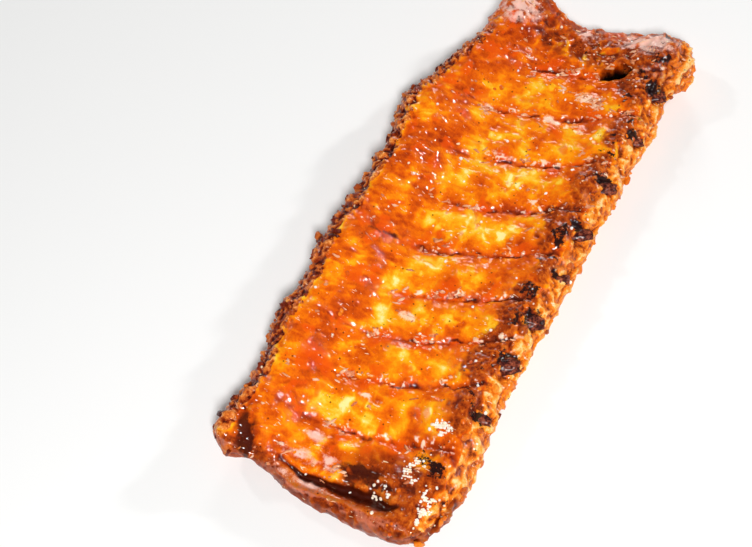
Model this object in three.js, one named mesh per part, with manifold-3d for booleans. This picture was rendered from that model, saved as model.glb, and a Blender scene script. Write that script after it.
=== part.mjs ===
// A slab of pork ribs lying bone side up on its meaty side, in millimetres.
// +X runs along the slab from its folded end to its lumpy end, +Y across it from the bone ends to the
// thick curled rim, +Z up. The origin is the middle of the footprint, on the surface it rests on: every
// place below is worked out from the slab's own middle line, and the finished group is moved by CENTRING.
import * as THREE from "three";
import { mergeVertices } from "three/addons/utils/BufferGeometryUtils.js";
import Module from "manifold-3d";

// Driving dimensions of the slab.
const LENGTH = 348;
const RIM_REACH = 61.5; // from the middle line to the rim's edge
const BONE_SIDE_REACH = 68.5; // from the middle line to the edge with the bone ends
const BOW = 6; // how far the middle of the slab swings towards the rim side
const CENTRING = { x: -1.8, y: -2.6 };
const FLOOR = 17; // height of the hollow that runs along the middle
const BONE_SIDE_RISE = 7; // how much the bone-end side stands above the hollow
const RIM_RISE = 17; // how much the rim side stands above the hollow
const BONE_SIDE_CURL = 5; // how far the underside lifts at the bone-end side
const RIM_CURL = 9; // how far the underside lifts at the rim side
const END_CURL = 2.5; // how far the underside lifts at both ends
const EDGE_BULGE = 4; // how far the side faces swell out at half height
const EDGE_ROUNDING = 4; // how much the top drops where it turns into the side faces
const CORNER_ROUNDING = 5; // how far the slab's four corners are drawn in

// Where the hand-cut outline swells out or draws in, by side: at is a place along that side.
const RIM_SWELLINGS = [
  { at: -120, reach: 20, out: -3 },
  { at: -93, reach: 9, out: 4 },
  { at: -25, reach: 30, out: 4 },
  { at: 68, reach: 30, out: 9 },
  { at: 135, reach: 20, out: -5 },
];
const BONE_SIDE_SWELLINGS = [
  { at: -150, reach: 18, out: 3 },
  { at: -115, reach: 16, out: -2 },
  { at: -35, reach: 40, out: 2 },
  { at: 105, reach: 22, out: -3 },
  { at: 150, reach: 18, out: 2 },
];
const FOLDED_END_SWELLINGS = [{ at: -66, reach: 14, out: -6 }];
const LUMPY_END_SWELLINGS = [
  { at: 64, reach: 15, out: -13 },
  { at: 14, reach: 18, out: -7 },
  { at: -45, reach: 22, out: 4 },
];
const END_SWELLINGS_FADE = 0.72; // share of the half length where an end's swellings begin

// The ribs: each one is a band between two furrows, and holds one bone.
const FURROWS = 9;
const FIRST_FURROW = -139.5;
const PITCH = 33;
const PITCH_SWING = 4.5; // the pitch grows by twice this from the folded end to the lumpy end
const RIB_HEIGHT = 2.6;
const RIB_SLANT = 0.48; // how far a rib leans to +X for each millimetre towards the bone ends
const SLANT_FROM = 13; // the lean starts about this far on the rim side of the middle
const SLANT_EASE = 14; // the length over which it starts

// The rib bones.
const BONE_WIDTH = 12;
const BONE_THICKNESS = 7.5;
const BONE_COVER = 2.2; // membrane and sauce over a bone
const BONE_STICKS_OUT = 0.8; // of the side face, on average
const BONE_UNEVENNESS = 0.9; // how far the sawn ends stand out or sink from that
const BONE_STOP = 0.74; // share of the half width where a bone ends inside the rim
const BONE_GAP = 0.4; // between a bone and the meat around it
const CHANNEL_RUNS_OUT = 8; // how far a bone's channel is cut past the bone's own end
const BONE_SIDES = 10;
const BONE_STEPS = 7;

// The lumps of meat over the last rib, the pit beside them, the knob at the folded end's corner and the fold.
const LUMPS = [
  { x: 164, y: 40, reachX: 19, reachY: 26, height: 11 },
  { x: 164, y: -48, reachX: 20, reachY: 27, height: 9 },
];
const PIT = { x: 143, y: -27, z: 28, across: 6, along: 9, deep: 14 };
const KNOB = { x: -163, y: 55, z: 17, across: 15, along: 14, high: 10 };
const FOLD = { x: -171, z: 15, halfHeight: 3.2, depth: 8, tilt: 0.9, from: -54, to: 30 };

// How finely the slab is faceted.
const STEPS_IN_A_RIB = 5;
const STEPS_ACROSS = 20;
const STEPS_IN_HEIGHT = 3;

const HALF = LENGTH / 2;
const { smoothstep, clamp } = THREE.MathUtils;

// Where the furrows lie along the slab's middle line, with the two ends of the slab around them.
const furrows = [];
let along = FIRST_FURROW;
for (let i = 0; i < FURROWS; i++) {
  furrows.push(along);
  along += PITCH - PITCH_SWING * Math.cos((Math.PI * i) / (FURROWS - 2));
}
const bands = [-HALF, ...furrows, HALF];
const ribCrests = bands.slice(1).map((edge, i) => (edge + bands[i]) / 2);

const middleOf = (x) => BOW * (1 - (x / HALF) ** 2);

function swellingAt(place, swellings) {
  return swellings.reduce((out, s) => out + s.out * Math.exp(-(((place - s.at) / s.reach) ** 2)), 0);
}

// From the middle line to the foot of an edge's bulge. side is -1 at the bone ends and 1 at the rim.
function halfWidth(x, side) {
  const corner = CORNER_ROUNDING * Math.abs(x / HALF) ** 14;
  const reach = side > 0 ? RIM_REACH : BONE_SIDE_REACH;
  return reach - EDGE_BULGE - corner + swellingAt(x, side > 0 ? RIM_SWELLINGS : BONE_SIDE_SWELLINGS);
}

// Ribs lean towards +X on their way to the bone ends, but not at the slab's ends, which are cut as they are.
function leaned(x, y) {
  const towardsBones = SLANT_EASE * Math.log1p(Math.exp((SLANT_FROM - y) / SLANT_EASE));
  const share = smoothstep(x, -HALF, -HALF * 0.6) * (1 - smoothstep(x, HALF * 0.62, HALF));
  const cut = Math.sign(x) * swellingAt(y, x > 0 ? LUMPY_END_SWELLINGS : FOLDED_END_SWELLINGS);
  return x + RIB_SLANT * towardsBones * share + cut * smoothstep(Math.abs(x) / HALF, END_SWELLINGS_FADE, 1);
}

// The swelling of the rib that a point along the middle line lies on: 1 along its crest, 0 in the furrows.
function ribSwell(x) {
  const i = clamp(bands.findIndex((edge) => edge > x) - 1, 0, bands.length - 2);
  const share = clamp((x - bands[i]) / (bands[i + 1] - bands[i]), 0, 1);
  return 1 - Math.abs(2 * share - 1) ** 3;
}

function lumpAt(x, y) {
  return LUMPS.reduce((z, l) => {
    return z + l.height * Math.exp(-(((x - l.x) / l.reachX) ** 2) - ((y - l.y) / l.reachY) ** 2);
  }, 0);
}

// The height of the hollow's surface without ribs. v is -1 at the bone-end side and 1 at the rim.
function hollow(x, v) {
  const rimShare = 0.7 + 0.3 * Math.cos((Math.PI * x) / LENGTH) + 0.05 * Math.sin(x / 9);
  return (
    FLOOR +
    BONE_SIDE_RISE * smoothstep(-v, 0.35, 0.95) +
    RIM_RISE * rimShare * smoothstep(v, 0.25, 0.97) -
    EDGE_ROUNDING * Math.abs(v) ** 14
  );
}

function topOf(x, y, v) {
  const fade = smoothstep(1 - Math.abs(v), 0, 0.2) * (v > 0 ? 1 - 0.6 * v : 1);
  return hollow(x, v) + RIB_HEIGHT * ribSwell(x) * fade + lumpAt(x, y);
}

function undersideOf(x, v) {
  const bones = BONE_SIDE_CURL * smoothstep(-v, 0.5, 1);
  const rim = RIM_CURL * smoothstep(v, 0.45, 1);
  const ends = END_CURL * smoothstep(Math.abs(x) / HALF, 0.9, 1);
  return bones + rim + ends;
}

// Carries a point of the cube from -1 to 1 on to the slab. u is counted in ribs, so that the facets follow
// the furrows.
function toSlab(u, v, w) {
  const band = ((u + 1) / 2) * (bands.length - 1);
  const i = Math.min(Math.floor(band), bands.length - 2);
  const x = bands[i] + (band - i) * (bands[i + 1] - bands[i]);
  const onEnd = Math.abs(u) === 1 ? Math.sign(u) : 0;
  const onSide = Math.abs(v) === 1 ? Math.sign(v) : 0;
  const swell = EDGE_BULGE * (1 - w * w) * (onEnd && onSide ? 0.4 : 1);
  const y = middleOf(x) + v * halfWidth(x, Math.sign(v)) + onSide * swell;
  const low = undersideOf(x, v);
  const high = topOf(x, y, v) - (onEnd ? EDGE_ROUNDING : 0);
  const end = onEnd * (swell - CORNER_ROUNDING * Math.abs(v) ** 8);
  return new THREE.Vector3(leaned(x, y) + end, y, low + ((w + 1) / 2) * (high - low));
}

// The middle of a bone's section at v, a share of the half width, for the rib whose crest is at x.
function boneMiddle(x, v) {
  const y = middleOf(x) + v * halfWidth(x, Math.sign(v));
  const z = hollow(x, clamp(v, -0.9, 1)) + RIB_HEIGHT * 0.7 - BONE_COVER - BONE_THICKNESS / 2;
  return new THREE.Vector3(leaned(x, y), y, z);
}

const wasm = await Module();
wasm.setup();

function solid(geometry) {
  geometry.deleteAttribute("normal");
  geometry.deleteAttribute("uv");
  const merged = mergeVertices(geometry, 1e-4);
  const vertProperties = merged.attributes.position.array;
  const triVerts = merged.index.array;
  return new wasm.Manifold(new wasm.Mesh({ numProp: 3, vertProperties, triVerts }));
}

function geometryOf(manifold) {
  const mesh = manifold.getMesh();
  return new THREE.BufferGeometry()
    .setAttribute("position", new THREE.BufferAttribute(mesh.vertProperties, 3))
    .setIndex(new THREE.BufferAttribute(mesh.triVerts, 1));
}

function slabGeometry() {
  const stepsAlong = STEPS_IN_A_RIB * (bands.length - 1);
  const box = new THREE.BoxGeometry(2, 2, 2, stepsAlong, STEPS_ACROSS, STEPS_IN_HEIGHT);
  const at = box.attributes.position;
  const snap = (value) => (Math.abs(Math.abs(value) - 1) < 1e-6 ? Math.sign(value) : value);
  for (let i = 0; i < at.count; i++) {
    at.setXYZ(i, ...toSlab(snap(at.getX(i)), snap(at.getY(i)), snap(at.getZ(i))));
  }
  return box;
}

// A flattened bar that follows a rib through stations, which are shares of the half width, swollen by extra.
function boneGeometry(x, stations, extra) {
  const section = new THREE.Shape();
  section.absellipse(0, 0, BONE_WIDTH / 2 + extra, BONE_THICKNESS / 2 + extra, 0, 2 * Math.PI);
  const steps = stations.length - 1;
  const bar = new THREE.ExtrudeGeometry(section, {
    depth: steps,
    steps,
    curveSegments: BONE_SIDES / 2,
    bevelEnabled: false,
  });
  const at = bar.attributes.position;
  for (let i = 0; i < at.count; i++) {
    const middle = boneMiddle(x, stations[Math.round(at.getZ(i))]);
    at.setXYZ(i, middle.x - at.getX(i), middle.y, middle.z + at.getY(i));
  }
  return bar;
}

// Where a bone's section is placed along it, from its sawn end to its hidden end.
function stationsOf(x) {
  const reach = halfWidth(x, -1);
  const sawn = -1 - (EDGE_BULGE + BONE_STICKS_OUT + BONE_UNEVENNESS * Math.sin(x)) / reach;
  return Array.from({ length: BONE_STEPS + 1 }, (_, i) => sawn + (i / BONE_STEPS) * (BONE_STOP - sawn));
}

// The same stations with one before the sawn end and one just past the hidden end.
function channelStationsOf(x) {
  const stations = stationsOf(x);
  const reach = halfWidth(x, -1);
  return [stations[0] - CHANNEL_RUNS_OUT / reach, ...stations, BONE_STOP + BONE_GAP / reach];
}

function ellipsoid(x, y, z, a, b, c) {
  return new THREE.SphereGeometry(1, 16, 10).scale(a, b, c).translate(x, y, z);
}

// The gap between the folded end's two layers: a lens-shaped section whose mouth faces outwards and up.
function foldGeometry() {
  const lens = new THREE.Shape();
  lens.moveTo(-FOLD.depth, 0);
  lens.quadraticCurveTo(0, FOLD.halfHeight * 2, FOLD.depth, 0);
  lens.quadraticCurveTo(0, -FOLD.halfHeight * 2, -FOLD.depth, 0);
  const depth = FOLD.to - FOLD.from;
  const bar = new THREE.ExtrudeGeometry(lens, { depth, bevelEnabled: false, curveSegments: 4 });
  return bar
    .rotateX(Math.PI / 2)
    .translate(0, depth / 2, 0)
    .rotateY(FOLD.tilt)
    .translate(FOLD.x, (FOLD.from + FOLD.to) / 2, FOLD.z);
}

let slab = solid(slabGeometry());
slab = slab.add(solid(ellipsoid(KNOB.x, KNOB.y, KNOB.z, KNOB.along, KNOB.across, KNOB.high)));
slab = slab.subtract(solid(ellipsoid(PIT.x, PIT.y, PIT.z, PIT.across, PIT.along, PIT.deep)));
slab = slab.subtract(solid(foldGeometry()));
for (const x of ribCrests) {
  slab = slab.subtract(solid(boneGeometry(x, channelStationsOf(x), BONE_GAP)));
}

const meatLook = new THREE.MeshStandardMaterial({ color: 0xe8860f, roughness: 0.3, metalness: 0 });
const boneLook = new THREE.MeshStandardMaterial({ color: 0x4a2a1a, roughness: 0.6, metalness: 0 });

const rack = new THREE.Group();
const meat = new THREE.Mesh(geometryOf(slab), meatLook);
meat.name = "meat";
rack.add(meat);

ribCrests.forEach((x, i) => {
  const bone = new THREE.Mesh(boneGeometry(x, stationsOf(x), 0), boneLook);
  bone.name = `bone_${String(i + 1).padStart(2, "0")}`;
  rack.add(bone);
});
rack.position.set(CENTRING.x, CENTRING.y, 0);

export default rack;
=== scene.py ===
"""The looks of a glazed rack of ribs that lies bone side up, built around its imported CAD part.

Lengths are in millimetres until a mesh is made. The slab's own coordinates are s, which runs along its
middle line from the folded end to the lumpy end, and v, which is -1 at the bone ends and 1 at the rim.
"""

import math

import bmesh
import bpy
import numpy as np
from mathutils import Matrix, Vector


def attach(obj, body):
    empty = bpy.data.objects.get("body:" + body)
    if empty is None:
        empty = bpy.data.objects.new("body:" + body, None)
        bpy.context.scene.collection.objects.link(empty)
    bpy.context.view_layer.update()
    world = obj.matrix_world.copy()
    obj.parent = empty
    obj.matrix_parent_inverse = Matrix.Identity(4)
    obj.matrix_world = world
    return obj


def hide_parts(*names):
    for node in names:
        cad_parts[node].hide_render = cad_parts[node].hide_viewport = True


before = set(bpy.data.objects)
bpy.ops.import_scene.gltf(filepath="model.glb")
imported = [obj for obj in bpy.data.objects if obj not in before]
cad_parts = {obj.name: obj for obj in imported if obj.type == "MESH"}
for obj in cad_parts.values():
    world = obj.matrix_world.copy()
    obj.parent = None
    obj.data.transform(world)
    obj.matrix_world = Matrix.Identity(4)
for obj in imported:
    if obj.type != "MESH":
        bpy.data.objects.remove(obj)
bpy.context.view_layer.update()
MM = 0.001

# ---------------------------------------------------------------- the slab's driving dimensions, as in CAD

LENGTH = 348
RIM_REACH = 61.5
BONE_SIDE_REACH = 68.5
BOW = 6
CENTRING = (-1.8, -2.6, 0)
FLOOR = 17
BONE_SIDE_RISE = 7
RIM_RISE = 17
BONE_SIDE_CURL = 5
RIM_CURL = 9
END_CURL = 2.5
EDGE_BULGE = 4
EDGE_ROUNDING = 4
CORNER_ROUNDING = 5
# (place along the side, reach, how far out)
RIM_SWELLINGS = [(-120, 20, -3), (-93, 9, 4), (-25, 30, 4), (68, 30, 9), (135, 20, -5)]
BONE_SIDE_SWELLINGS = [(-150, 18, 3), (-115, 16, -2), (-35, 40, 2), (105, 22, -3), (150, 18, 2)]
FOLDED_END_SWELLINGS = [(-66, 14, -6)]
LUMPY_END_SWELLINGS = [(64, 15, -13), (14, 18, -7), (-45, 22, 4)]
END_SWELLINGS_FADE = 0.72
FURROWS = 9
FIRST_FURROW = -139.5
PITCH = 33
PITCH_SWING = 4.5
RIB_HEIGHT = 2.6
RIB_SLANT = 0.48
SLANT_FROM = 13
SLANT_EASE = 14
HALF = LENGTH / 2

FURROW_AT = FIRST_FURROW + np.cumsum(
    [0] + [PITCH - PITCH_SWING * math.cos(math.pi * i / (FURROWS - 2)) for i in range(FURROWS - 1)]
)
BANDS = np.concatenate([[-HALF], FURROW_AT, [HALF]])
CRESTS = (BANDS[1:] + BANDS[:-1]) / 2


def smoothstep(value, low, high):
    share = np.clip((value - low) / (high - low), 0, 1)
    return share * share * (3 - 2 * share)


def swelling_at(place, swellings):
    return sum(out * np.exp(-(((place - at) / reach) ** 2)) for at, reach, out in swellings)


def middle_of(s):
    return BOW * (1 - (s / HALF) ** 2)


def half_width(s, v):
    """From the middle line to the edge on v's side."""
    corner = CORNER_ROUNDING * np.abs(s / HALF) ** 14
    rim = RIM_REACH + swelling_at(s, RIM_SWELLINGS)
    bones = BONE_SIDE_REACH + swelling_at(s, BONE_SIDE_SWELLINGS)
    return np.where(v > 0, rim, bones) - EDGE_BULGE - corner


def leaned(s, y):
    """Where along the slab the rib line through s lies once it has reached y."""
    towards_bones = SLANT_EASE * np.log1p(np.exp((SLANT_FROM - y) / SLANT_EASE))
    share = smoothstep(s, -HALF, -HALF * 0.6) * (1 - smoothstep(s, HALF * 0.62, HALF))
    cut = np.where(s > 0, swelling_at(y, LUMPY_END_SWELLINGS), -swelling_at(y, FOLDED_END_SWELLINGS))
    return s + RIB_SLANT * towards_bones * share + cut * smoothstep(np.abs(s) / HALF, END_SWELLINGS_FADE, 1)


def band_share(s):
    """How far s lies between its two furrows, from 0 to 1, and the number of its band."""
    i = np.clip(np.searchsorted(BANDS, s) - 1, 0, len(BANDS) - 2)
    return np.clip((s - BANDS[i]) / (BANDS[i + 1] - BANDS[i]), 0, 1), i


# ------------------------------------------------------------------------------------------------- noise


def hashed(cells, seed):
    """A random 32-bit number for each row of whole numbers."""
    c = cells.astype(np.int64)
    h = (c[..., 0] * 73856093) ^ (c[..., 1] * 19349663) ^ (c[..., 2] * 83492791) ^ (seed * 2654435761)
    h = (h ^ (h >> 13)) & 0xFFFFFFFF
    h = (h * 1274126177) & 0xFFFFFFFF
    return (h ^ (h >> 16)) & 0xFFFFFFFF


def gradient_noise(p, seed):
    """Perlin noise at the rows of p, about -1 to 1."""
    cell = np.floor(p)
    f = p - cell
    ease = f * f * f * (f * (f * 6 - 15) + 10)
    total = np.zeros(len(p))
    for corner in range(8):
        step = np.array([corner & 1, corner >> 1 & 1, corner >> 2 & 1])
        h = hashed(cell + step, seed)
        slope = np.stack([(h >> k & 1023) / 511.5 - 1 for k in (0, 10, 20)], -1)
        weight = np.prod(np.where(step, ease, 1 - ease), axis=1)
        total += weight * np.einsum("ij,ij->i", slope, f - step)
    return total * 1.6


def fractal(p, size, octaves, seed):
    """Layers of noise, the coarsest with features about size apart. size may differ by axis."""
    q, total, height, most = p / np.asarray(size, float), 0, 1, 0
    for k in range(octaves):
        total = total + height * gradient_noise(q, seed + k)
        q, most, height = q * 2.03 + 7.1, most + height, height * 0.5
    return total / most


def ridged(p, size, octaves, seed):
    """Noise with sharp crests, 0 to 1."""
    q, total, height, most = p / np.asarray(size, float), 0, 1, 0
    for k in range(octaves):
        total = total + height * (1 - np.abs(gradient_noise(q, seed + k)) * 1.6) ** 2
        q, most, height = q * 2.07 + 3.7, most + height, height * 0.5
    return np.clip(total / most, 0, 1)


def pebbles(p, size, seed):
    """Round bumps packed side by side, 1 at a bump's middle and 0 in the cracks."""
    q = p / size
    cell = np.floor(q)
    nearest = np.full(len(p), 9.0)
    for i in range(27):
        c = cell + np.array([i % 3 - 1, i // 3 % 3 - 1, i // 9 - 1])
        h = hashed(c, seed)
        spot = c + np.stack([(h >> k & 1023) / 1023 for k in (0, 10, 20)], -1)
        nearest = np.minimum(nearest, ((q - spot) ** 2).sum(1))
    return 1 - np.clip(nearest, 0, 1)


# ------------------------------------------------------------------------------------------ mesh helpers


def box_grid(steps):
    """The surface of a box as whole lattice points and outward quads that share their corners."""
    points, quads, start = [], [], 0
    for axis in range(3):
        a, b = (axis + 1) % 3, (axis + 2) % 3
        i, j = np.meshgrid(np.arange(steps[a] + 1), np.arange(steps[b] + 1), indexing="ij")
        for side in (0, steps[axis]):
            p = np.zeros(i.shape + (3,), int)
            p[..., a], p[..., b], p[..., axis] = i, j, side
            n = np.arange(i.size).reshape(i.shape) + start
            q = np.stack([n[:-1, :-1], n[1:, :-1], n[1:, 1:], n[:-1, 1:]], -1).reshape(-1, 4)
            points.append(p.reshape(-1, 3))
            quads.append(q if side else q[:, ::-1])
            start += i.size
    points, quads = np.concatenate(points), np.concatenate(quads)
    key = (points[:, 0] * 4096 + points[:, 1]) * 4096 + points[:, 2]
    _, first, same = np.unique(key, return_index=True, return_inverse=True)
    return points[first], same[quads]


def normals_of(points, faces):
    """Unit vertex normals of a mesh of equal faces, by area."""
    corners = points[faces]
    if faces.shape[1] == 4:
        cross = np.cross(corners[:, 2] - corners[:, 0], corners[:, 3] - corners[:, 1])
    else:
        cross = np.cross(corners[:, 1] - corners[:, 0], corners[:, 2] - corners[:, 0])
    total = np.zeros_like(points)
    for k in range(3):
        share = np.repeat(cross[:, k], faces.shape[1])
        total[:, k] = np.bincount(faces.ravel(), share, len(points))
    return total / np.maximum(np.linalg.norm(total, axis=1, keepdims=True), 1e-9)


def smoothed(points, faces, amount, rounds):
    """Each point drawn towards its neighbours' middle, by its own amount."""
    pairs = np.concatenate([faces[:, [k, (k + 1) % faces.shape[1]]] for k in range(faces.shape[1])])
    count = np.bincount(pairs[:, 0], minlength=len(points))
    for _ in range(rounds):
        sums = [np.bincount(pairs[:, 0], points[pairs[:, 1], k], len(points)) for k in range(3)]
        points = points + amount[:, None] * (np.stack(sums, -1) / count[:, None] - points)
    return points


def mesh_object(name, points, faces, masks=None):
    """A smooth-shaded object from points in millimetres, its masks kept as point attributes."""
    mesh = bpy.data.meshes.new(name)
    n, sides = faces.shape
    mesh.vertices.add(len(points))
    mesh.vertices.foreach_set("co", (points * MM).astype(np.float32).ravel())
    mesh.loops.add(n * sides)
    mesh.loops.foreach_set("vertex_index", faces.astype(np.int32).ravel())
    mesh.polygons.add(n)
    mesh.polygons.foreach_set("loop_start", np.arange(0, n * sides, sides, dtype=np.int32))
    mesh.polygons.foreach_set("use_smooth", np.ones(n, bool))
    mesh.update(calc_edges=True)
    for key, values in (masks or {}).items():
        mesh.attributes.new(key, "FLOAT", "POINT").data.foreach_set("value", values.astype(np.float32))
    piece = bpy.data.objects.new(name, mesh)
    bpy.context.scene.collection.objects.link(piece)
    return piece


# ------------------------------------------------------------------------------------------- the slab

STEPS = (352, 146, 24)  # quads along, across and up: about a millimetre each
UNDERSIDE_KEPT = 0.74  # the share of the slab's triangles that is left once the underside is thinned
EDGE_SOFTENING = 60  # rounds of smoothing that round the slab's edges off
CAVITY_ROUNDS = 14  # rounds of smoothing that the slab is held against to find its dents
CAVITY_DEPTH = 0.6  # a dent or a bump of this depth counts in full

# Spots are (x, y, reach along x, reach along y, height or strength).
LUMPS = [(164, 40, 19, 26, 11), (164, -48, 20, 27, 9)]
KNOB = (-165, 58, 10, 9, 4)
KNOB_PUSH = (-0.5, 1.3)  # how far the knob leans out along x and y, for each millimetre of its height
# The hollow beside the knob is sunk, and painted dark as shade.
KNOB_HOLLOW = (-165, 48, 15, 6.5, 1)
KNOB_HOLLOW_SLANT = 0.3
KNOB_HOLLOW_DEPTH = 4.5
BUBBLES = [(-150, 22, 3.4, 3.4, 1.6), (-147, 9, 2.8, 2.8, 1.3)]
RIM_MARK = (-20, 42, 2.5, 10, 1.0)
RIM_MARK_SLANT = 0.35
# Painted shade beside the right half of the fold.
SHADE_BY_FOLD = (-157, -24, 9, 19, 1.2)
BROWN_BY_FOLD = (-150, -28, 16, 26, 0.9)
YELLOW_PATCHES = [(105, 19, 13, 9, 0.18), (51, 5, 13, 12, 0.1)]
GLINT_BEAD_CLUSTERS = [
    (-141, -41, 5, 5, 1),
    (-157, -56, 7, 4, 0.8),
    (-114, -42, 4, 4, 0.8),
    (-158, -31, 3, 4, 0.9),
]
# Pale patches of membrane flakes; the first, at the folded end, is a painted highlight.
PALE_PATCHES = [
    (-158, 4, 7, 12, 1.1),
    (118, -22, 6, 8, 1.3),
    (40, -24, 4, 6, 1.2),
    (86, 30, 5, 6, 1.2),
    (96, -6, 4, 9, 1.1),
    (62, 8, 4, 7, 1.1),
    (-60, 6, 4, 7, 1.0),
    (-112, 2, 4, 9, 1.1),
]
# Painted sheen: pinkish-white patches painted where the glaze would reflect the lamps.
PAINTED_SHEEN_SPOTS = [
    (158, 44, 11, 11, 1.9),
    (168, -38, 9, 15, 1.9),
    (-157, 4, 5, 9, 1.2),
    (-160, 20, 4, 7, 1.1),
    (-171, 10, 3, 22, 1.0),
    (163, 0, 5, 8, 1.0),
    (-146, 15, 4, 7, 0.9),
]
# The pit at the lumpy end is a slit that runs along the direction lean; its inside is painted near black as
# shade.
PIT = dict(x=143.6, y=-27.4, half_length=8.5, half_width=4, depth=14, lean=(0.49, -0.87))
# The fold at the folded end is a gap from y start to y end, which closes over ease at both.
FOLD = dict(x=-167.5, lean=0.1, depth=5.5, width=1.6, start=-54, end=33, ease=22)
CORNER_TRIM = 6  # how far the folded end is pulled in beside the knob

BONE_HALF_WIDTH = 4.4
BONE_HALF_HEIGHT = 3.1
BONE_STUB = 13  # how much of each bone is built, from its end into the meat
BONE_PROUD = -1.6  # how far the ends stand out of the meat's own edge
BONE_DROP = 0.8  # how far the ends sit below the places that bone_ends gives
BONE_HOLLOW = 2.2  # how deep an end's middle is burnt away
BONE_ROUGHNESS = 1.7
BONE_STEPS = np.array((22, 16, 8))  # quads across, up and along
COVERED_BONE = 4  # how much deeper the two outermost bones end, behind meat
# Each bone end's size, as a share of the half width and height above.
BONE_SIZES = 0.72 + 0.5 * np.random.default_rng(3).random(10)
CHAR_OFFSET = (-2, 7, 4)  # the charring's middle, from a bone's end


def hollow(s, v):
    """The height of the trough's surface without ribs."""
    rim_share = 0.7 + 0.3 * np.cos(math.pi * s / LENGTH) + 0.05 * np.sin(s / 9)
    return (
        FLOOR
        + BONE_SIDE_RISE * smoothstep(-v, 0.35, 0.95)
        + RIM_RISE * rim_share * smoothstep(v, 0.25, 0.97)
        - EDGE_ROUNDING * np.abs(v) ** 14
    )


def underside(s, v):
    """The height of the underside, which curls up at the edges."""
    bones = BONE_SIDE_CURL * smoothstep(-v, 0.5, 1)
    rim = RIM_CURL * smoothstep(v, 0.45, 1)
    return bones + rim + END_CURL * smoothstep(np.abs(s) / HALF, 0.9, 1)


def bump(x, y, spot):
    """A smooth hill, or any strength that fades away from a spot."""
    at_x, at_y, reach_x, reach_y, height = spot
    return height * np.exp(-(((x - at_x) / reach_x) ** 2) - ((y - at_y) / reach_y) ** 2)


def base_slab():
    """The slab with rounded edges and no fine relief: its points, quads, and each point's s, v and w."""
    lattice, quads = box_grid(STEPS)
    u, v, w = (2 * lattice / np.array(STEPS) - 1).T
    s = HALF * u
    on_end, on_side = np.where(np.abs(u) == 1, u, 0), np.where(np.abs(v) == 1, v, 0)
    swell = EDGE_BULGE * 1.3 * (1 - w ** 4) * np.where((on_end != 0) & (on_side != 0), 0.4, 1)
    y = middle_of(s) + v * half_width(s, v) + on_side * swell
    share, _ = band_share(s)
    ribs = RIB_HEIGHT * (1 - np.abs(2 * share - 1) ** 3) * smoothstep(1 - np.abs(v), 0, 0.2)
    x = leaned(s, y)
    top = hollow(s, v) + ribs * np.where(v > 0, 1 - 0.6 * v, 1) + sum(bump(x, y, lump) for lump in LUMPS)
    low = underside(s, v)
    points = np.stack([x + on_end * swell, y, low + (w + 1) / 2 * (top - low)], -1)
    near_edge = np.maximum(smoothstep(np.abs(v), 0.86, 0.97), smoothstep(np.abs(u), 0.94, 0.985))
    points = smoothed(points, quads, 0.5 * near_edge, EDGE_SOFTENING)
    return points, quads, s, v, w


def bone_ends():
    """Where each rib bone comes out of the bone-end side, and the way it points in the plan."""
    y = middle_of(CRESTS) - half_width(CRESTS, -1) - EDGE_BULGE
    x = leaned(CRESTS, y)
    inner = leaned(CRESTS, y + 10)
    z = FLOOR + BONE_SIDE_RISE * 0.85 - 3.5
    return np.stack([x, y, np.full(len(x), z)], -1), np.stack([x - inner, np.full(len(x), -10.0)], -1)


def thinned(piece, where, kept):
    """Merges triangles where a flat part doesn't need them, down to a share of the whole."""
    group = piece.vertex_groups.new(name="thinned")
    group.add(np.flatnonzero(where).tolist(), 1, "REPLACE")
    modifier = piece.modifiers.new("thinned", "DECIMATE")
    modifier.ratio = kept
    modifier.vertex_group = group.name
    fine = piece.data
    evaluated = piece.evaluated_get(bpy.context.evaluated_depsgraph_get())
    piece.data = bpy.data.meshes.new_from_object(evaluated)
    piece.modifiers.clear()
    bpy.data.meshes.remove(fine)


def areas_of(p, s, v, normals):
    """Where the slab's regions lie, from 0 to 1."""
    x, y, _ = p.T
    upper = smoothstep(normals[:, 2], 0.0, 0.5)
    wavy = v + 0.16 * fractal(p, 26, 2, 30)
    far = smoothstep(x + 10 * fractal(p, 20, 2, 29), 128, 150)
    near = 1 - smoothstep(x + 0.25 * y + 9 * fractal(p, 16, 2, 28), -168, -142)
    rim = smoothstep(v + 0.09 * fractal(p, 9, 3, 31), 0.87, 0.97) * (1 - 0.85 * far) * (1 - 0.7 * near)
    bones = smoothstep(-v + 0.08 * fractal(p, 8, 3, 32), 0.84, 0.96)
    return dict(
        upper=upper,
        far=far,
        near=near,
        rim=rim,
        bones=bones,
        trough=smoothstep(wavy, -0.8, -0.45) * (1 - smoothstep(wavy, 0.15, 0.55)) * upper,
        wall=smoothstep(wavy, 0.15, 0.55) * (1 - smoothstep(v, 0.85, 0.97)) * upper,
        band=smoothstep(-wavy, 0.45, 0.8) * (1 - 0.5 * bones) * upper,
        crest=1 - np.abs(2 * band_share(s)[0] - 1),
    )


def furrow_distance(p, s):
    """Signed distance to the nearest furrow, which wanders."""
    wander = 3.5 * fractal(p, (60, 20, 60), 2, 11) + 2.6 * fractal(p, (11, 6, 11), 3, 12)
    away = (s + wander)[:, None] - FURROW_AT[None, :]
    return away[np.arange(len(s)), np.abs(away).argmin(1)]


def warped(p, size, reach, seed):
    """The points pushed about by noise, so that what is made from them swirls."""
    push = [fractal(p, size, 2, seed + k) for k in range(3)]
    return p + reach * np.stack(push, -1)


def char_near(p, reach):
    """How near each point is to a burnt bone end: 1 on its middle, falling off over reach."""
    total = np.zeros(len(p))
    for place, size in zip(bone_ends()[0][1:-1], BONE_SIZES[1:-1]):
        off = (p - place - CHAR_OFFSET) / np.array([0.9, 1.25, 1.2]) / (reach * size)
        total = np.maximum(total, np.exp(-(off ** 2).sum(1)))
    return total


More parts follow.
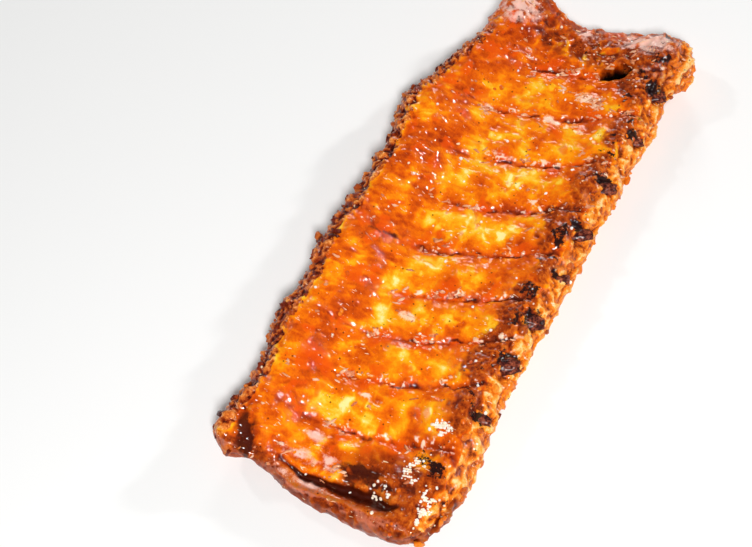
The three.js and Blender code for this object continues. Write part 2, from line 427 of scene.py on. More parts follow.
def relief(p, s, v, area):
    """How far each point of the slab is moved along its normal, and the masks its finish needs."""
    x, y, _ = p.T
    d = furrow_distance(p, s)
    swirl = warped(p, 18, 6, 61)
    curl = warped(p, 7, 2.5, 64)
    sheared = warped(p + np.stack([0.5 * y, 0 * y, 0 * y], -1), 18, 4, 67)
    inside = smoothstep(v, -1.0, -0.85) * (1 - smoothstep(v, 0.15, 0.6)) * area["upper"]
    alive = inside * smoothstep(fractal(p, (15, 9, 15), 3, 13), -0.15, 0.2)
    groove = np.exp(-((d / 1.2) ** 2)) * alive
    torn = inside * smoothstep(fractal(p, (18, 9, 18), 2, 14), -0.1, 0.25)
    fibres = ridged(curl, (2.6, 8, 6), 2, 15)
    shreds = torn * np.exp(-(((d - 1.5) / 4.5) ** 2)) * smoothstep(fibres, 0.55, 0.85)
    groups = inside * smoothstep(fractal(curl, (9, 6, 9), 2, 96), -0.02, 0.22)
    flaked = groups * np.exp(-(((d - 1.8) / 3.2) ** 2)) * smoothstep(fibres, 0.3, 0.7)
    wrinkles = ridged(swirl, (9, 26, 20), 3, 21)
    dimples = fractal(curl, (6, 10, 8), 2, 23)
    streaks = ridged(sheared, (5, 34, 34), 3, 22)
    knobs = pebbles(curl, 8, 41)
    crumbs = pebbles(curl, 3.6, 42)
    crags = ridged(curl, (4.5, 4.5, 4.5), 3, 45)
    pools = smoothstep(fractal(swirl, (13, 10, 12), 3, 90) + 0.25 * np.exp(-((d / 7) ** 2)), 0.1, 0.42)
    pools *= np.maximum(area["trough"], area["wall"])
    blots = warped(p, 9, 4.5, 74)
    burnt = char_near(blots, 7.5)
    stained = char_near(blots, 15)
    out = 1.3 * fractal(p, 27, 3, 1) + 0.5 * fractal(p, 9, 2, 2)
    out += -1.2 * groove + 0.9 * shreds + 0.7 * flaked + 0.45 * pools
    out += (area["trough"] + area["wall"]) * (0.9 * (wrinkles - 0.5) + 0.3 * dimples)
    out += area["wall"] * 0.5 * (streaks - 0.5)
    out += area["band"] * (1.0 * knobs + 1.0 * (crags - 0.5) + 0.5 * dimples - 0.5)
    tattered = 2.0 * fractal(p, 13, 2, 43) + 2.2 * smoothstep(fractal(p, 9, 2, 46), 0.1, 0.4)
    out += area["rim"] * (2.6 * knobs + 1.8 * crumbs + 2.2 * (crags - 0.5) - 1.7 + tattered)
    folds = ridged(swirl, (11, 14, 8), 2, 50)
    knobbly = 2.6 * knobs + 0.4 * crumbs + 2.6 * (folds - 0.5) - 3.1
    out += area["bones"] * (knobbly + 2.8 * fractal(p, 15, 3, 43))
    creases = ridged(swirl, (18, 14, 14), 2, 44) - 0.5
    out += area["far"] * (2.6 * creases + 0.5 * dimples) + area["near"] * (1.4 * creases + 0.6 * dimples)
    out += burnt * (2.4 * (crags - 0.5) - 1.6)

    tone = 0.53 + 0.5 * fractal(swirl, (20, 16, 18), 2, 51) + 0.2 * fractal(curl, (8, 10, 8), 2, 57)
    tone += area["trough"] * (0.03 + 0.1 * area["crest"]) - 0.05 * area["wall"] - 0.1 * area["band"]
    tone += 0.12 * area["wall"] * (streaks - 0.5) - 0.1 * inside * np.exp(-((d / 6) ** 2))
    tone -= 0.22 * smoothstep(x + 10 * fractal(p, 20, 2, 29), 116, 142) + 0.1 * area["near"]
    tone += sum(bump(x, y, patch) for patch in YELLOW_PATCHES)
    tone += 0.3 * area["trough"] * area["crest"] * smoothstep(fractal(curl, (9, 6, 8), 2, 95), 0.15, 0.4)
    # Painted shade: the glaze turns redder towards the hollow by the knob and the shade beside the fold.
    shaded = bump(x, y, SHADE_BY_FOLD)
    tone -= 0.36 * np.sqrt(in_hollow(x, y)) + 0.26 * np.sqrt(shaded)
    tone = np.where(tone < 0.42, 0.42 + 0.4 * (tone - 0.42), tone)
    brown = 0.55 * area["band"] + 0.7 * area["far"] + 0.55 * area["near"] + 1.1 * stained
    brown = brown + 0.6 * fractal(swirl, 15, 3, 54) + 0.3 * fractal(curl, 5, 2, 53)
    brown = brown * (1 - 0.6 * area["bones"]) + smoothstep(-x, 166, 175)
    crust = smoothstep(area["rim"] + 0.35 * fractal(p, 6, 2, 55), 0.4, 0.9)
    specked = 0.66 * area["band"] * smoothstep(fractal(swirl, (10, 14, 12), 3, 58), 0.0, 0.3)
    specked = np.maximum(specked, 0.5 * area["far"] * smoothstep(fractal(swirl, 11, 2, 49), 0.2, 0.45))
    rim_mark = bump(x + RIM_MARK_SLANT * (y - RIM_MARK[1]), y, RIM_MARK) * (0.7 + fractal(curl, 5, 2, 52))
    # The furrows' creases are painted dark as shade; the rim's dark mark is its own colour.
    dark = np.maximum(0.8 * groove, rim_mark)
    # Painted shade in the hollow by the knob and beside the fold.
    painted_shade = in_hollow(x, y) * (0.85 + 1.5 * fractal(curl, (12, 5, 9), 3, 47))
    painted_shade += shaded * (0.65 + 1.7 * fractal(curl, (5, 9, 6), 3, 97))
    dark = np.maximum(dark, painted_shade)
    # Pale flakes, and a painted highlight at the folded end.
    flakes_and_painted_highlight = smoothstep(fractal(curl, (6, 11, 8), 3, 59), -0.15, 0.3)
    flakes_and_painted_highlight *= sum(bump(x, y, place) for place in PALE_PATCHES)
    # Painted sheen: pale reflections painted into the colour, in streaks.
    painted_sheen = sum(bump(x, y, place) for place in PAINTED_SHEEN_SPOTS)
    painted_sheen *= 0.7 + 1.5 * fractal(warped(p, 9, 4, 98), (3.5, 9, 7), 3, 99)
    fatty = area["bones"] + 0.5 * area["far"] * (v < -0.6) + 0.3 * fractal(p, 8, 2, 60)
    filmy = smoothstep(fractal(curl, (5, 16, 5), 2, 48), -0.1, 0.3)
    looks = dict(
        tone=tone,
        brown=smoothstep(brown, 0.35, 1.0),
        pools=pools,
        pale=np.maximum(np.maximum(shreds, flaked), flakes_and_painted_highlight),
        painted_sheen=painted_sheen,
        crust=crust,
        char=np.maximum(0.95 * burnt, specked),
        dark=dark,
        membrane=0.8 * smoothstep(-x, 168, 174) * filmy,
        fat=smoothstep(fatty, 0.45, 0.9),
    )
    return out, looks


def in_hollow(x, y):
    """The hollow between the knob and the rest of the folded end, which is sunk and painted dark as shade.
    """
    return bump(x, y - KNOB_HOLLOW_SLANT * (x + 163), KNOB_HOLLOW)


def in_pit(x, y):
    """How far in the pit each point lies, from 0 to 1."""
    off_x, off_y, (lean_x, lean_y) = x - PIT["x"], y - PIT["y"], PIT["lean"]
    along = off_x * lean_x + off_y * lean_y
    across = off_x * -lean_y + off_y * lean_x
    r = (along / PIT["half_length"]) ** 2 + (across / PIT["half_width"]) ** 2
    return np.exp(-r * r)


def fold_shape(x, y, p):
    """The fold: how deep in its gap each point is, and how far it lies on its lower lip, from 0 to 1."""
    start, end, ease = FOLD["start"], FOLD["end"], FOLD["ease"]
    along = smoothstep(y, start, start + ease) * (1 - smoothstep(y, end - ease, end))
    only_y = p * [0, 1, 0]
    across = x - (FOLD["x"] - FOLD["lean"] * y + 3.2 * fractal(only_y, 16, 3, 61))
    uneven = 0.7 + 0.4 * along + 0.8 * fractal(only_y, 11, 2, 62) + smoothstep(-y, 0, 30)
    width = FOLD["width"] * uneven
    gap = np.exp(-((across / width) ** 2)) * along
    lip = np.exp(-(((across + 4.5) / 3.0) ** 2)) * along
    return gap, lip


def fine_slab():
    """The slab with all its relief: points, quads, normals, regions, and the masks its finish needs."""
    p, quads, s, v, w = base_slab()
    x, y, _ = p.T
    high = smoothstep(w, 0.2, 1.0)
    gap, lip = fold_shape(x, y, p)
    pit = in_pit(x, y)
    knob = bump(x, y, KNOB)
    sunk = FOLD["depth"] * gap + PIT["depth"] * pit + KNOB_HOLLOW_DEPTH * in_hollow(x, y)
    p[:, 2] += high * (1.2 * lip + knob - sunk)
    p[:, 0] += high * 1.2 * gap - 2.0 * lip * smoothstep(w, -0.6, 0.4)
    p[:, 0] += CORNER_TRIM * smoothstep(-x, 152, 174) * smoothstep(y, 8, 34) * (1 - smoothstep(y, 42, 56))
    p[:, 2] += high * sum(bump(x, y, bubble) for bubble in BUBBLES)
    p[:, 0] += KNOB_PUSH[0] * knob
    p[:, 1] += KNOB_PUSH[1] * knob
    normals = normals_of(p, quads)
    area = areas_of(p, s, v, normals)
    out, looks = relief(p, s, v, area)
    out *= 1 - 0.8 * smoothstep(-normals[:, 2], 0.5, 0.9)
    out *= 1 - 0.6 * gap - 0.5 * lip
    p = p + normals * out[:, None]
    p[:, 2] -= p[:, 2].min()
    normals = normals_of(p, quads)
    # The cavity mask: in the finish, dents are painted darker as shade and bumps lighter as painted light.
    even = smoothed(p, quads, np.full(len(p), 0.5), CAVITY_ROUNDS)
    looks["cavity"] = np.clip(((p - even) * normals).sum(1) / CAVITY_DEPTH, -1, 1)
    # The pit's inside is painted near black, as shade.
    looks["pit"] = smoothstep(pit * high, 0.12, 0.5)
    end_face = area["near"] * (1 - smoothstep(w, 0.7, 1.0))
    looks["dark"] = np.maximum(looks["dark"], 0.5 * np.maximum(lip, end_face))
    # The fold's gap is painted darker, and dark, as shade.
    looks["tone"] -= 0.3 * np.sqrt(gap)
    looks["dark"] = np.clip(np.maximum(looks["dark"], gap * high * 1.3), 0, 1)
    looks["brown"] = np.clip(looks["brown"] + bump(x, y, BROWN_BY_FOLD), 0, 1)
    looks["brown"] = np.clip(looks["brown"] + 0.9 * lip + 0.8 * area["near"] * (w < 0.9), 0, 1)
    return p, quads, normals, area, looks


# ------------------------------------------------------------------------------------------ materials


LIGHT_REACH = 3  # how deep light goes into the meat


class Nodes:
    """A material with a Principled shader, and short ways to add nodes to it."""

    def __init__(self, name):
        self.material = bpy.data.materials.new(name)
        self.material.use_nodes = True
        self.tree = self.material.node_tree
        self.shader = self.tree.nodes["Principled BSDF"]
        self.place = self.add("ShaderNodeTexCoord").outputs["Object"]

    def add(self, kind, **values):
        node = self.tree.nodes.new(kind)
        for key, value in values.items():
            setattr(node, key, value)
        return node

    def put(self, socket, value):
        if isinstance(value, bpy.types.NodeSocket):
            self.tree.links.new(value, socket)
        elif isinstance(value, tuple) and socket.type == "RGBA":
            socket.default_value = (*value, 1)
        else:
            socket.default_value = value

    def mask(self, name):
        return self.add("ShaderNodeAttribute", attribute_name=name).outputs["Fac"]

    def scaled(self, size, stretch=(1, 1, 1)):
        mapping = self.add("ShaderNodeMapping")
        self.put(mapping.inputs["Vector"], self.place)
        mapping.inputs["Scale"].default_value = [1 / (size * MM * k) for k in stretch]
        return mapping.outputs["Vector"]

    def noise(self, size, detail=3.0, roughness=0.55, stretch=(1, 1, 1), distortion=0.0):
        """Noise from about 0.2 to 0.8 with features about size millimetres apart, longer along stretch."""
        node = self.add("ShaderNodeTexNoise")
        self.put(node.inputs["Vector"], self.scaled(size, stretch))
        node.inputs["Scale"].default_value = 1
        node.inputs["Detail"].default_value = detail
        node.inputs["Roughness"].default_value = roughness
        node.inputs["Distortion"].default_value = distortion
        return node.outputs["Fac"]

    def cells(self, size):
        node = self.add("ShaderNodeTexVoronoi")
        self.put(node.inputs["Vector"], self.scaled(size))
        node.inputs["Scale"].default_value = 1
        return node.outputs["Distance"]

    def total(self, *terms):
        """The sum of value times share for each (value, share)."""
        result = 0.0
        for value, share in terms:
            node = self.add("ShaderNodeMath", operation="MULTIPLY_ADD")
            self.put(node.inputs[0], value)
            self.put(node.inputs[1], share)
            self.put(node.inputs[2], result)
            result = node.outputs[0]
        return result

    def ramp(self, value, low, high, top=1.0):
        node = self.add("ShaderNodeMapRange", interpolation_type="SMOOTHSTEP")
        self.put(node.inputs["Value"], value)
        node.inputs["From Min"].default_value = low
        node.inputs["From Max"].default_value = high
        node.inputs["To Max"].default_value = top
        return node.outputs["Result"]

    def colours(self, value, stops):
        """A colour ramp through stops, each (place, colour)."""
        node = self.add("ShaderNodeValToRGB")
        self.put(node.inputs["Fac"], value)
        elements = node.color_ramp.elements
        elements.remove(elements[1])
        elements[0].position, elements[0].color = stops[0][0], (*stops[0][1], 1)
        for place, colour in stops[1:]:
            elements.new(place).color = (*colour, 1)
        return node.outputs["Color"]

    def mix(self, share, a, b):
        node = self.add("ShaderNodeMix", data_type="RGBA")
        self.put(node.inputs["Factor"], share)
        self.put([i for i in node.inputs if i.name == "A" and i.type == "RGBA"][0], a)
        self.put([i for i in node.inputs if i.name == "B" and i.type == "RGBA"][0], b)
        return [o for o in node.outputs if o.type == "RGBA"][0]

    def bump(self, height, distance):
        """A bump of height 0 to 1 over distance millimetres."""
        node = self.add("ShaderNodeBump")
        self.put(node.inputs["Height"], height)
        node.inputs["Distance"].default_value = distance * MM
        return node.outputs["Normal"]

    def finish(self, colour, roughness, specular, coat=0.0, coat_roughness=0.05, subsurface=0.0):
        """Sets the shader's inputs."""
        inputs = self.shader.inputs
        self.put(inputs["Base Color"], colour)
        self.put(inputs["Roughness"], roughness)
        inputs["Specular IOR Level"].default_value = specular
        inputs["Coat Weight"].default_value = coat
        inputs["Coat Roughness"].default_value = coat_roughness
        inputs["Subsurface Weight"].default_value = subsurface
        inputs["Subsurface Radius"].default_value = (1.0, 0.35, 0.1)
        inputs["Subsurface Scale"].default_value = LIGHT_REACH * MM
        return self.material


def srgb(r, g, b):
    """A colour as seen on a screen, 0 to 255, in the shader's linear numbers."""
    return tuple((c / 255 / 12.92) if c < 11 else ((c / 255 + 0.055) / 1.055) ** 2.4 for c in (r, g, b))


GLAZE_STOPS = [
    (0.05, srgb(98, 20, 0)),
    (0.24, srgb(170, 54, 0)),
    (0.4, srgb(214, 84, 0)),
    (0.54, srgb(240, 116, 0)),
    (0.66, srgb(248, 146, 4)),
    (0.78, srgb(250, 178, 22)),
    (0.9, srgb(252, 206, 72)),
    (1.0, srgb(255, 232, 150)),
]
ROAST_STOPS = [
    (0.1, srgb(60, 12, 0)),
    (0.35, srgb(118, 36, 2)),
    (0.55, srgb(172, 66, 6)),
    (0.75, srgb(208, 100, 20)),
    (1.0, srgb(240, 160, 70)),
]
CRUST_STOPS = [
    (0.12, srgb(66, 8, 0)),
    (0.38, srgb(132, 38, 4)),
    (0.62, srgb(190, 86, 26)),
    (0.85, srgb(228, 126, 48)),
    (1.0, srgb(250, 170, 92)),
]
FAT_STOPS = [
    (0.1, srgb(112, 40, 6)),
    (0.32, srgb(196, 88, 18)),
    (0.55, srgb(238, 124, 20)),
    (0.78, srgb(246, 162, 56)),
    (1.0, srgb(255, 212, 140)),
]
SHRED_STOPS = [(0.1, srgb(196, 88, 44)), (0.45, srgb(240, 160, 110)), (1.0, srgb(255, 220, 190))]
DROP_STOPS = [(0.1, srgb(206, 70, 0)), (0.6, srgb(238, 112, 4)), (1.0, srgb(250, 150, 20))]
GLINT_BEAD_STOPS = [(0.1, srgb(255, 220, 180)), (0.5, srgb(255, 244, 226)), (1.0, srgb(255, 253, 248))]
CHAR = srgb(22, 7, 8)
PALE = srgb(255, 222, 194)
PAINTED_SHEEN = srgb(255, 210, 194)
PAINTED_GLINT = srgb(255, 226, 180)
DARK = srgb(58, 12, 2)
POOLED = srgb(230, 78, 0)
PIT_SHADE = srgb(8, 2, 1)
MEMBRANE = srgb(206, 120, 92)


def meat_finish():
    n = Nodes("glazed_meat")
    coarse, fine, grain = n.noise(6, 4, 0.6, distortion=0.4), n.noise(2.4, 4, 0.6), n.noise(1.0, 3, 0.6)
    # lit and softly_lit are random mottling and painted light and shade: the cavity mask and the bump's own
    # noise make dents darker and bumps lighter.
    lit = n.total((n.mask("cavity"), 0.22), (coarse, 0.3), (fine, 0.5), (grain, 0.4), (1.0, -0.6))
    softly_lit = n.total((n.mask("cavity"), 0.2), (coarse, 0.22), (fine, 0.2), (grain, 0.2), (1.0, -0.31))
    tone = n.total((n.mask("tone"), 1.0), (softly_lit, 1.0))

    def patch(name, low, high, jitter=0.6, top=1.0):
        """A mask with a ragged border."""
        ragged = n.total((n.mask(name), 1.0), (fine, jitter), (grain, jitter / 2), (1.0, -0.75 * jitter))
        return n.ramp(ragged, low, high, top)

    colour = n.colours(tone, GLAZE_STOPS)
    fatty = n.colours(n.total((lit, 1.7), (1.0, 0.52)), FAT_STOPS)
    roasted = n.colours(n.total((lit, 1.2), (1.0, 0.47)), ROAST_STOPS)
    crusty = n.colours(n.total((lit, 2.0), (1.0, 0.42)), CRUST_STOPS)
    colour = n.mix(patch("pools", 0.2, 1.0, 0.5, 0.7), colour, POOLED)
    colour = n.mix(patch("fat", 0.3, 0.8), colour, fatty)
    colour = n.mix(patch("brown", 0.25, 0.85), colour, roasted)
    colour = n.mix(patch("crust", 0.3, 0.7), colour, crusty)
    colour = n.mix(patch("membrane", 0.3, 0.9, 0.9, 0.75), colour, MEMBRANE)
    # pale: torn membrane and flakes, and one painted highlight at the folded end.
    colour = n.mix(patch("pale", 0.35, 0.85, 0.9, 0.85), colour, PALE)
    # Painted glints: thin pale streaks painted into the colour.
    glint_streaks = n.noise(1.5, 2, 0.5, stretch=(1, 2.6, 1.6), distortion=0.7)
    colour = n.mix(n.ramp(n.total((glint_streaks, 1.0), (coarse, 0.25)), 0.8, 0.86, 0.8), colour, PAINTED_GLINT)
    # Painted sheen: pinkish-white reflections painted into the colour.
    colour = n.mix(patch("painted_sheen", 0.2, 1.0, 1.1, 0.8), colour, PAINTED_SHEEN)
    # dark: painted shade in the furrows, by the knob, beside the fold and in its gap, with the rim's own
    # dark mark and the darker lip and end face.
    colour = n.mix(patch("dark", 0.3, 0.8, 0.6, 0.92), colour, DARK)
    char = patch("char", 0.5, 0.66, 1.1, 0.97)
    colour = n.mix(char, colour, CHAR)
    # Painted shade: the pit's inside near black.
    colour = n.mix(n.mask("pit"), colour, PIT_SHADE)
    specks = n.ramp(n.cells(6), 0.11, 0.06, 0.8)
    colour = n.mix(specks, colour, DARK)
    height = n.total((fine, 0.6), (grain, 0.4))
    n.put(n.shader.inputs["Normal"], n.bump(height, 0.7))
    ripples = n.noise(4, 1, 0.5, stretch=(1, 2.2, 1), distortion=0.8)
    n.put(n.shader.inputs["Coat Normal"], n.bump(ripples, 0.8))
    return n.finish(colour, 0.5, coat=0.55, coat_roughness=0.03, specular=0.04, subsurface=0.06)


def bone_finish():
    n = Nodes("charred_bone")
    pores = n.cells(1.3)
    mottled = n.noise(3, 3)
    colour = n.colours(n.total((mottled, 0.8), (pores, 0.25)), [
        (0.32, srgb(18, 5, 8)),
        (0.5, srgb(74, 24, 18)),
        (0.66, srgb(150, 72, 48)),
        (0.85, srgb(206, 128, 92)),
    ])
    n.put(n.shader.inputs["Normal"], n.bump(n.total((pores, 0.6), (mottled, 0.5)), 0.6))
    return n.finish(colour, 0.5, coat=0.3, coat_roughness=0.2, specular=0.06)


def bits_finish(name, stops):
    """For the many small pieces: each has its own tint, and its crevices are painted darker, as shade."""
    n = Nodes(name)
    fine, grain = n.noise(1.8, 3, 0.6), n.noise(0.7, 2)
    tone = n.total((n.mask("tint"), 0.6), (fine, 0.5), (grain, 0.2), (1.0, -0.2))
    n.put(n.shader.inputs["Normal"], n.bump(n.total((fine, 0.7), (grain, 0.3)), 0.9))
    colour = n.colours(tone, stops)
    return n.finish(colour, 0.5, coat=0.6, coat_roughness=0.07, specular=0.08, subsurface=0.08)


# ------------------------------------------------------------------------------------- scattered pieces

CRUMB_COUNT = 330
KNOB_COUNT = 150
SHRED_COUNT = 420
BEAD_COUNT = 230
DROP_COUNT = 60
BALL_ROUNDS = 2  # subdivisions of the ball that every small thing starts as
LEAST_HEIGHT = 0.05  # small things that reach lower than this are cut flat here, just above the floor


def unit_ball():
    """An icosphere's points and triangles."""
    mesh = bpy.data.meshes.new("ball")
    shape = bmesh.new()
    bmesh.ops.create_icosphere(shape, subdivisions=BALL_ROUNDS, radius=1)
    shape.to_mesh(mesh)
    shape.free()
    points = np.array([vertex.co for vertex in mesh.vertices])
    faces = np.array([list(face.vertices) for face in mesh.polygons])
    bpy.data.meshes.remove(mesh)
    return points, faces


def frames_around(normals, rng, grain):
    """For each normal, a frame of three unit rows whose last is the normal, turned at random.

    The larger grain is, the more the first row keeps to the direction of the ribs.
    """
    along = rng.normal(size=normals.shape) + grain * np.array([-0.35, 1, 0])
    along -= (along * normals).sum(1, keepdims=True) * normals
    along /= np.linalg.norm(along, axis=1, keepdims=True)
    return np.stack([along, np.cross(normals, along), normals], 1)


def chunks(places, frames, sizes, rng, craggy):
    """Lumps of food: balls with craggy noise. sizes are half extents along each frame's rows."""
    ball, faces = unit_ball()
    count, n = len(places), len(ball)
    seeds = rng.uniform(-500, 500, (count, 1, 3))
    field = (ball[None] * 1.3 + seeds).reshape(-1, 3)
    swell = 1 + craggy * (fractal(field, 1, 2, 71) * 1.4 + 0.5 * fractal(field, 0.35, 2, 72))
    local = ball[None] * swell.reshape(count, n, 1) * sizes[:, None, :]
    points = places[:, None, :] + np.einsum("cni,cij->cnj", local, frames)
    all_faces = (faces[None] + (np.arange(count) * n)[:, None, None]).reshape(-1, 3)
    return points.reshape(-1, 3), all_faces, n


def chosen(weights, count, rng):
    """Numbers of count different slab points, picked by weight."""
    return rng.choice(len(weights), count, replace=False, p=weights / weights.sum())


def scatter(name, at, sizes, finish, rng, sink, craggy, tints=None, grain=0):
    """Joins chunks that sit on the slab at its points' numbers at, each sunk by a share of its height."""
    normals = slab_normals[at]
    frames = frames_around(normals, rng, grain)
    places = slab_points[at] + normals * (sizes[:, 2:] * (1 - 2 * sink))
    points, faces, n = chunks(places, frames, sizes, rng, craggy)
    points[:, 2] = np.maximum(points[:, 2], LEAST_HEIGHT)
    tints = rng.uniform(0, 1, len(at)) if tints is None else tints
    piece = mesh_object(name, points + CENTRING, faces, {"tint": np.repeat(tints, n)})
    piece.data.materials.append(finish)
    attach(piece, "root")


slab_points, slab_quads, slab_normals, slab_areas, slab_looks = fine_slab()
slab = mesh_object("meat_slab", slab_points + CENTRING, slab_quads, slab_looks)
thinned(slab, slab_normals[:, 2] < -0.6, UNDERSIDE_KEPT)
slab.data.materials.append(meat_finish())
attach(slab, "root")
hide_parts("meat")


def rim_crumbs():
    """Jagged crumbs of crust along the rim."""
    rng = np.random.default_rng(5)
    at = chosen(slab_areas["rim"] ** 2 * smoothstep(slab_points[:, 2], 10, 18), CRUMB_COUNT, rng)
    long = 0.7 + 2.3 * rng.random(len(at)) ** 2
    wide, high = rng.uniform(0.4, 0.8, len(at)), rng.uniform(0.5, 1.1, len(at))
    sizes = np.stack([long, long * wide, long * high], -1)
    finish = bits_finish("browned_crust", CRUST_STOPS)
    scatter("rim_crumbs", at, sizes, finish, rng, sink=0.62, craggy=0.8)


def side_knobs():
    """Knobs of fat and meat along the side with the bone ends."""
    rng = np.random.default_rng(6)
    free = 1 - smoothstep(slab_looks["char"], 0.2, 0.6)
    at = chosen(slab_areas["bones"] ** 2 * free * smoothstep(slab_points[:, 2], 3, 9), KNOB_COUNT, rng)
    long = 1.2 + 2.8 * rng.random(len(at)) ** 2
    wide, high = rng.uniform(0.5, 0.9, len(at)), rng.uniform(0.4, 0.8, len(at))
    sizes = np.stack([long, long * wide, long * high], -1)
    tints = np.clip(rng.normal(0.55, 0.25, len(at)), 0, 1)
    finish = bits_finish("fatty_bits", FAT_STOPS)
    scatter("side_knobs", at, sizes, finish, rng, sink=0.62, craggy=0.45, tints=tints)


def rib_bones():
    """The sawn ends of the bones, sunk in the meat: a burnt, pitted face round a hollow middle."""
    finish = bone_finish()
    lattice, quads = box_grid(BONE_STEPS)
    u = 2 * lattice / BONE_STEPS - 1
    a = u[:, 0] * np.sqrt(1 - u[:, 1] ** 2 / 2)
    b = u[:, 1] * np.sqrt(1 - u[:, 0] ** 2 / 2)
    hollow_middle = np.where(u[:, 2] == 1, BONE_HOLLOW * smoothstep(np.hypot(a, b), 0.8, 0.4), 0)
    for i, (place, out) in enumerate(zip(*bone_ends())):
        out = np.append(out, 0) / np.linalg.norm(out)
        side = np.array([-out[1], out[0], 0])
        rounding = (1 - 0.3 * smoothstep(u[:, 2], 0.2, 1.0)) * BONE_SIZES[i]
        across = (BONE_HALF_WIDTH * a * rounding)[:, None] * side
        upward = (BONE_HALF_HEIGHT * b * rounding)[:, None] * np.array([0, 0, 1])
        covered = COVERED_BONE if i in (0, len(CRESTS) - 1) else 0
        reach = (u[:, 2] - 1) / 2 * BONE_STUB + BONE_PROUD - hollow_middle - covered
        p = place - [0, 0, BONE_DROP] + across + upward + out * reach[:, None]
        p += BONE_ROUGHNESS * np.stack([fractal(p + 90 * k, 5, 3, 81) for k in range(3)], -1)
        piece = mesh_object(f"rib_bone_{i + 1:02d}", p + CENTRING, quads)
        piece.data.materials.append(finish)
        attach(piece, "root")
        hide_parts(f"bone_{i + 1:02d}")


def membrane_shreds():
    """Torn, pale shreds of membrane, most of them along the furrows."""
    rng = np.random.default_rng(7)
    patchy = smoothstep(fractal(slab_points, 16, 2, 92), -0.1, 0.3) * slab_areas["upper"]
    weights = (slab_looks["pale"] + 0.03 * slab_areas["far"] + 0.012) * patchy
    at = chosen(weights, SHRED_COUNT, rng)
    long = 0.7 + 2.2 * rng.random(len(at)) ** 2
    wide = rng.uniform(0.35, 0.9, len(at))
    sizes = np.stack([long, np.minimum(wide, 0.8 * long), rng.uniform(0.2, 0.45, len(at))], -1)
    finish = bits_finish("membrane", SHRED_STOPS)
    scatter("membrane_shreds", at, sizes, finish, rng, sink=0.35, craggy=0.9, grain=2.5)


def fat_beads_painted_glints():
    """Small pale beads of fat, most of them in clusters near the folded end; their near-white colour is
    painted glints.
    """
    rng = np.random.default_rng(8)
    x, y, _ = slab_points.T
    ragged = smoothstep(fractal(slab_points, 6, 2, 91), -0.05, 0.25)
    weights = sum(bump(x, y, cluster) for cluster in GLINT_BEAD_CLUSTERS) * ragged + 0.0004
    at = chosen(weights * slab_areas["upper"], BEAD_COUNT, rng)
    radius = rng.uniform(0.45, 1.05, len(at))[:, None]
    sizes = radius * rng.uniform(0.7, 1.2, (len(at), 3))
    finish = bits_finish("pale_fat_painted_glints", GLINT_BEAD_STOPS)
    scatter("fat_beads_painted_glints", at, sizes, finish, rng, sink=0.4, craggy=0.2)


def sauce_drops():
    """Flat drops of glaze at the folded end, up the wall and beside the bone ends."""
    rng = np.random.default_rng(9)
    weights = 0.5 * slab_areas["near"] + slab_areas["band"] + 0.3 * slab_areas["wall"]
    weights = weights * slab_areas["upper"] * (1 - slab_looks["dark"]) ** 2 + 1e-6
    at = chosen(weights, DROP_COUNT, rng)
    radius = rng.uniform(0.6, 1.5, len(at))[:, None]
    shape = [rng.uniform(0.8, 1.6, len(at)), np.ones(len(at)), np.full(len(at), 0.3)]
    sizes = radius * np.stack(shape, -1)
    finish = bits_finish("glaze_drops", DROP_STOPS)
    scatter("sauce_drops", at, sizes, finish, rng, sink=0.45, craggy=0.15)


rim_crumbs()
side_knobs()
membrane_shreds()
fat_beads_painted_glints()
sauce_drops()
rib_bones()

# ------------------------------------------------------------------------------------------- the stage

CAMERA_AZIMUTH = -60.4
CAMERA_ELEVATION = 58.2
CAMERA_ROLL = -2.85
CAMERA_DISTANCE = 0.875
LENS = 71.8
SENSOR_WIDTH = 36
FLOOR_REACH = 6
AIM = (-0.0524, -0.0125)  # what the camera looks at, right and up of the origin in its own picture
WORLD_STRENGTH = 0.1

# Each lamp's name, its place and the side of its square in metres, and its power in watts.
LAMPS = [
    ("key", (-0.75, -0.5, 1.15), 0.28, 20.5),
    ("right", (1.1, -0.75, 0.7), 0.12, 6),
    ("far", (0.15, 1.0, 0.9), 0.1, 1.8),
    ("low_far", (1.1, 0.5, 0.5), 0.3, 3),
]


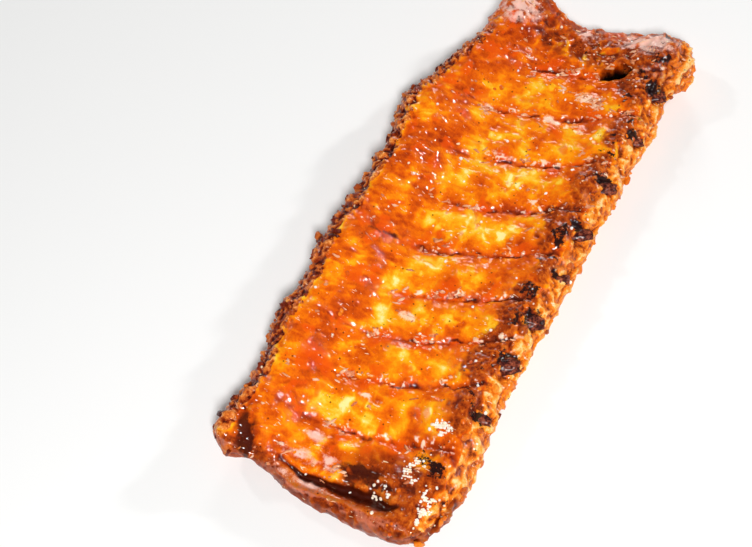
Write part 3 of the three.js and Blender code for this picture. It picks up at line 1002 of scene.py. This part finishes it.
def softbox(name, place, side, power):
    """A square area light that faces the origin."""
    light = bpy.data.lights.new(name, "AREA")
    light.shape, light.size, light.energy = "SQUARE", side, power
    lamp = bpy.data.objects.new(name, light)
    lamp.location = place
    lamp.rotation_euler = Vector(place).to_track_quat("Z", "Y").to_euler()
    bpy.context.scene.collection.objects.link(lamp)


def studio():
    """The camera, the floor, the world and the lamps."""
    scene = bpy.context.scene
    a, e, r = (math.radians(x) for x in (CAMERA_AZIMUTH, CAMERA_ELEVATION, CAMERA_ROLL))
    back = Vector((math.sin(a) * math.cos(e), -math.cos(a) * math.cos(e), math.sin(e)))
    right = Vector((math.cos(a), math.sin(a), 0))
    up = back.cross(right)
    right, up = right * math.cos(r) + up * math.sin(r), up * math.cos(r) - right * math.sin(r)
    place = back * CAMERA_DISTANCE
    back = (place - (right * AIM[0] + up * AIM[1])).normalized()
    right = (right - back * right.dot(back)).normalized()
    turn = Matrix((right, back.cross(right), back)).transposed()
    data = bpy.data.cameras.new("camera")
    data.lens, data.sensor_width = LENS, SENSOR_WIDTH
    camera = bpy.data.objects.new("camera", data)
    camera.matrix_world = Matrix.Translation(place) @ turn.to_4x4()
    scene.collection.objects.link(camera)
    scene.camera = camera
    floor_mesh = bpy.data.meshes.new("floor")
    corners = [(-FLOOR_REACH, -FLOOR_REACH), (FLOOR_REACH, -FLOOR_REACH)]
    corners += [(FLOOR_REACH, FLOOR_REACH), (-FLOOR_REACH, FLOOR_REACH)]
    floor_mesh.from_pydata([(x, y, 0) for x, y in corners], [], [(0, 1, 2, 3)])
    floor = bpy.data.objects.new("floor", floor_mesh)
    pale = Nodes("pale_floor")
    floor_mesh.materials.append(pale.finish(srgb(243, 243, 242), 0.9, specular=0.1))
    scene.collection.objects.link(floor)
    world = bpy.data.worlds.new("world")
    world.use_nodes = True
    world.node_tree.nodes["Background"].inputs["Color"].default_value = (1, 1, 1, 1)
    world.node_tree.nodes["Background"].inputs["Strength"].default_value = WORLD_STRENGTH
    scene.world = world
    for lamp in LAMPS:
        softbox(*lamp)
    scene.view_settings.view_transform = "Standard"


studio()
